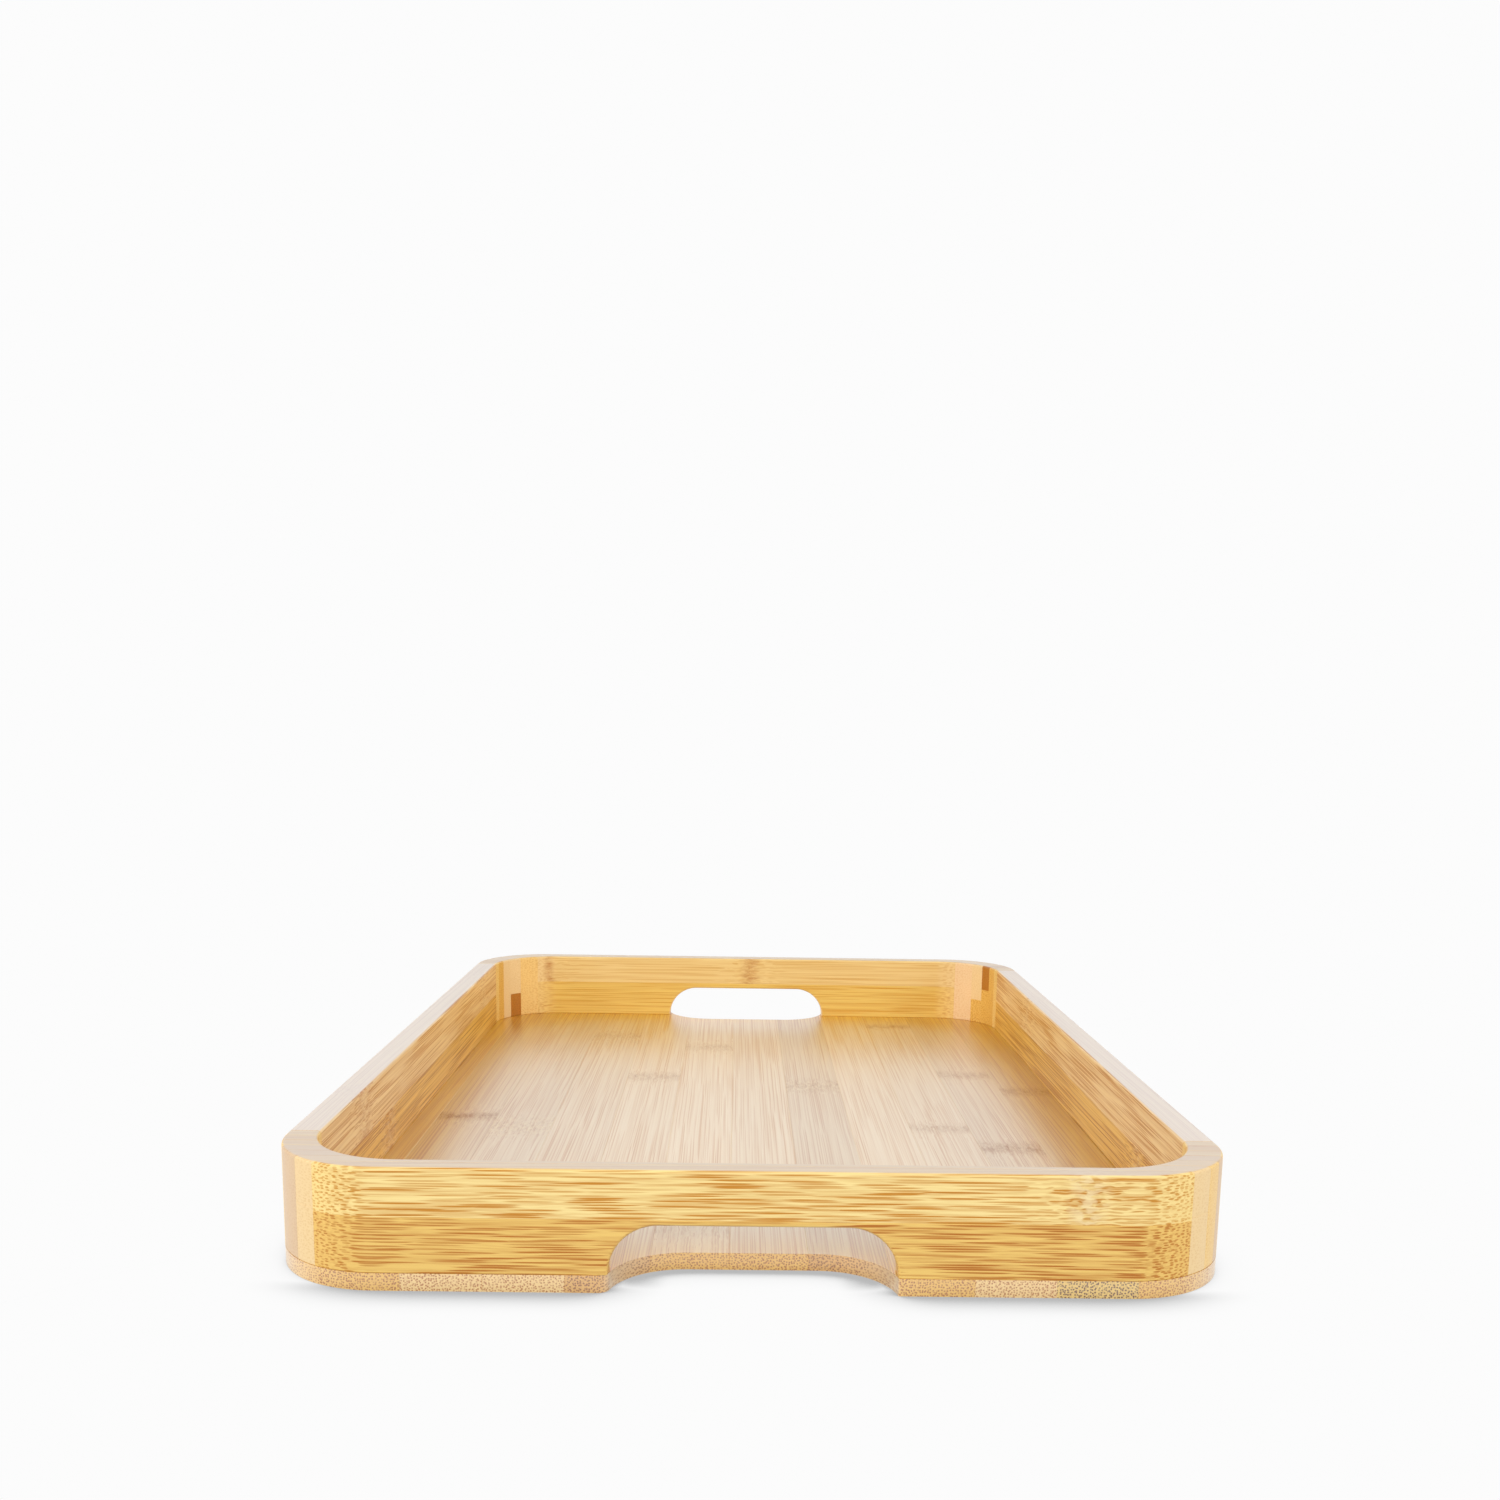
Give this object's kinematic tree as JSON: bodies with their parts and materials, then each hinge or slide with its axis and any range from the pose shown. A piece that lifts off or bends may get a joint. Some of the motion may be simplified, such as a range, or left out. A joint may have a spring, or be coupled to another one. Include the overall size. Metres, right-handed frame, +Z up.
{
  "type": "serving tray",
  "caption": "Rectangular laminated bamboo serving tray with rounded corners, a strip floor, a low wall all round and a cut-out hand hold in each short end.",
  "frame": {"origin": "underside of the floor, at the centre of the tray", "axes": "+X to the right across the width, +Y along the length from the front hand hold to the rear one, +Z up"},
  "size_m": [0.325, 0.45, 0.042],
  "materials": {
    "bamboo_floor": "satin lacquer over straight-grained bamboo, grain along the length",
    "bamboo_end_walls": "satin lacquer over straight-grained bamboo, grain across the width",
    "bamboo_corner_layers": "satin lacquer over cut bamboo layers, dots and dashes on the rounded corners",
    "bamboo_side_walls": "satin lacquer over straight-grained bamboo, grain along the length",
    "bamboo_tongue": "bare bamboo, hidden in the joint"
  },
  "bodies": {
    "root": {"floor_strip_01": "bamboo_floor", "floor_strip_02": "bamboo_floor", "floor_strip_03": "bamboo_floor", "floor_strip_04": "bamboo_floor", "floor_strip_05": "bamboo_floor", "floor_strip_06": "bamboo_floor", "floor_strip_07": "bamboo_floor", "floor_strip_08": "bamboo_floor", "floor_strip_09": "bamboo_floor", "floor_strip_10": "bamboo_floor", "floor_strip_11": "bamboo_floor", "floor_strip_12": "bamboo_floor", "floor_strip_13": "bamboo_floor", "front_end_layer_1_lower": "bamboo_end_walls", "front_end_layer_1_upper": "bamboo_end_walls", "front_end_layer_2_lower": "bamboo_end_walls", "front_end_layer_2_upper": "bamboo_end_walls", "front_left_corner_layer_3": "bamboo_corner_layers", "front_left_corner_layer_4_lower": "bamboo_corner_layers", "front_left_corner_layer_4_upper": "bamboo_corner_layers", "front_left_corner_layer_5_lower": "bamboo_corner_layers", "front_left_corner_layer_5_upper": "bamboo_corner_layers", "front_left_corner_layer_6": "bamboo_corner_layers", "front_left_corner_layer_7": "bamboo_corner_layers", "front_left_tongue": "bamboo_tongue", "front_right_corner_layer_3": "bamboo_corner_layers", "front_right_corner_layer_4_lower": "bamboo_corner_layers", "front_right_corner_layer_4_upper": "bamboo_corner_layers", "front_right_corner_layer_5_lower": "bamboo_corner_layers", "front_right_corner_layer_5_upper": "bamboo_corner_layers", "front_right_corner_layer_6": "bamboo_corner_layers", "front_right_corner_layer_7": "bamboo_corner_layers", "front_right_tongue": "bamboo_tongue", "left_side_lower": "bamboo_side_walls", "left_side_upper": "bamboo_side_walls", "rear_end_layer_1_lower": "bamboo_end_walls", "rear_end_layer_1_upper": "bamboo_end_walls", "rear_end_layer_2_lower": "bamboo_end_walls", "rear_end_layer_2_upper": "bamboo_end_walls", "rear_left_corner_layer_3": "bamboo_corner_layers", "rear_left_corner_layer_4_lower": "bamboo_corner_layers", "rear_left_corner_layer_4_upper": "bamboo_corner_layers", "rear_left_corner_layer_5_lower": "bamboo_corner_layers", "rear_left_corner_layer_5_upper": "bamboo_corner_layers", "rear_left_corner_layer_6": "bamboo_corner_layers", "rear_left_corner_layer_7": "bamboo_corner_layers", "rear_left_tongue": "bamboo_tongue", "rear_right_corner_layer_3": "bamboo_corner_layers", "rear_right_corner_layer_4_lower": "bamboo_corner_layers", "rear_right_corner_layer_4_upper": "bamboo_corner_layers", "rear_right_corner_layer_5_lower": "bamboo_corner_layers", "rear_right_corner_layer_5_upper": "bamboo_corner_layers", "rear_right_corner_layer_6": "bamboo_corner_layers", "rear_right_corner_layer_7": "bamboo_corner_layers", "rear_right_tongue": "bamboo_tongue", "right_side_lower": "bamboo_side_walls", "right_side_upper": "bamboo_side_walls"}
  },
  "joints": []
}
